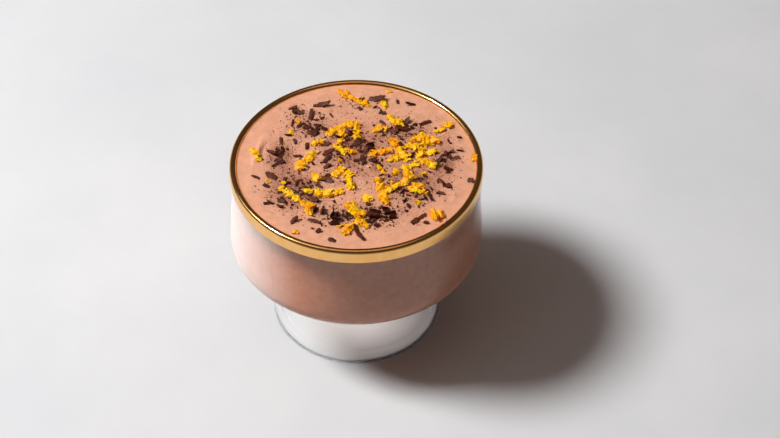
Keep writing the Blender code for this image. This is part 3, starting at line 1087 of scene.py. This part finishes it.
def make_lamps():
    """Four lamps round the glass and one under it. Gives the two that light only chosen pieces."""
    key = add_lamp("key", KEY_DIRECTION, KEY_DISTANCE, KEY_SIZE, None, KEY_WATTS, KEY_COLOUR)
    key.visible_glossy = False
    key.visible_transmission = False
    spark = add_lamp("spark", KEY_DIRECTION, KEY_DISTANCE, SPARK_SIZE, None, KEY_WATTS, KEY_COLOUR)
    spark.visible_diffuse = False
    spark.visible_transmission = False
    strip = add_lamp(
        "strip", KEY_DIRECTION, STRIP_DISTANCE, STRIP_LENGTH, STRIP_WIDTH, STRIP_WATTS, STRIP_COLOUR)
    facing = Vector(KEY_DIRECTION).normalized()
    along = (STRIP_ALONG - facing * STRIP_ALONG.dot(facing)).normalized()
    across = facing.cross(along)
    turn = Matrix((along, across, facing)).transposed().to_4x4()
    strip.matrix_world = Matrix.Translation(strip.location) @ turn
    add_lamp(
        "ceiling", CEILING_DIRECTION, CEILING_DISTANCE, CEILING_SIZE, CEILING_SIZE,
        CEILING_WATTS, CEILING_COLOUR)
    under = add_lamp("foot_glow", STRAIGHT_UP, 0.0, GLOW_LENGTH, GLOW_WIDTH, GLOW_WATTS, GLOW_COLOUR)
    under.location = GLOW_PLACE
    under.visible_camera = False
    under.visible_glossy = False
    under.visible_transmission = False
    return spark, under


def make_world():
    """Dim room light, paler along the horizon. The camera sees the backdrop there, also through glass."""
    world = bpy.data.worlds.new("room")
    bpy.context.scene.world = world
    world.use_nodes = True
    dim = world.node_tree.nodes["Background"]
    parts = add_node(world, "ShaderNodeSeparateXYZ")
    join(world, add_node(world, "ShaderNodeTexCoord").outputs["Generated"], parts.inputs["Vector"])
    sky = ramp(world, parts.outputs["Z"], ((HORIZON_LOW, HORIZON_COLOUR), (HORIZON_HIGH, ROOM_COLOUR)))
    join(world, sky, dim.inputs["Color"])
    pale = add_node(world, "ShaderNodeBackground", Color=(*BACKDROP_COLOUR, 1.0))
    ray = add_node(world, "ShaderNodeLightPath").outputs
    seen = calculate(world, "ADD", ray["Is Camera Ray"], ray["Transmission Depth"], True)
    unlit = calculate(world, "SUBTRACT", seen, ray["Diffuse Depth"], True)
    look = mix_shader(world, unlit, dim.outputs["Background"], pale.outputs["Background"])
    join(world, look, world.node_tree.nodes["World Output"].inputs["Surface"])


# Camera: its place in metres, its angles in degrees and its lens in millimetres
CAMERA_PLACE = (0.0, -0.517, 0.557)
CAMERA_YAW = 1.35
CAMERA_PITCH = 44.75
CAMERA_ROLL = 0.79
CAMERA_LENS = 92.3


def make_camera():
    yaw, pitch, roll = (math.radians(angle) for angle in (CAMERA_YAW, CAMERA_PITCH, CAMERA_ROLL))
    forward = Vector((math.sin(yaw) * math.cos(pitch), math.cos(yaw) * math.cos(pitch), -math.sin(pitch)))
    level_right = forward.cross(Vector((0.0, 0.0, 1.0))).normalized()
    level_up = level_right.cross(forward)
    right = level_right * math.cos(roll) + level_up * math.sin(roll)
    up = level_up * math.cos(roll) - level_right * math.sin(roll)
    data = bpy.data.cameras.new("camera")
    data.lens = CAMERA_LENS
    data.sensor_width = 36.0
    data.clip_start = 0.01
    camera = bpy.data.objects.new("camera", data)
    bpy.context.scene.collection.objects.link(camera)
    turn = Matrix((right, up, -forward)).transposed().to_4x4()
    camera.matrix_world = Matrix.Translation(CAMERA_PLACE) @ turn
    bpy.context.scene.camera = camera


# ---- assembly

def hold(piece, slot, *nodes):
    """Fix a piece to the glass and hide the CAD nodes it stands for; the finish it is given, slot, is not
    used.
    """
    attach(piece, "root")
    if nodes:
        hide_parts(*nodes)


def light_only(lamp, name, pieces):
    """Let a lamp light these pieces and nothing else."""
    lit = bpy.data.collections.new(name)
    for piece in pieces:
        lit.objects.link(piece)
    lamp.light_linking.receiver_collection = lit


make_camera()
foot_floor = make_floor()
spark, foot_glow = make_lamps()
make_world()
bpy.context.scene.view_settings.view_transform = "Standard"

hold(turned("glass_body", glass_outline(), False, glass_material()), "clear_glass", "glass")
gold_film = turned("gold_film", gold_outline(), True, gold_material())
hold(gold_film, "gold", "gold_rim")
mousse_fill = make_mousse(mousse_material())
hold(mousse_fill, "mousse", "mousse")
shaved = chocolate_material("dark_chocolate", (0.014, 0.003, 0.0012), (0.098, 0.022, 0.010))
dusted = chocolate_material("chocolate_dust", (0.17, 0.050, 0.026), (0.30, 0.115, 0.066))
shavings = make_chocolate(shaved)
hold(shavings, "dark_chocolate")
hold(make_dust(dusted), "dark_chocolate")
zest = make_zest(zest_material())
hold(zest, "orange_zest")

# The spark lights these and not the glass, where it would burn out the foot
light_only(spark, "sparkling", (gold_film, mousse_fill, shavings, zest))
light_only(foot_glow, "glowing", (foot_floor,))
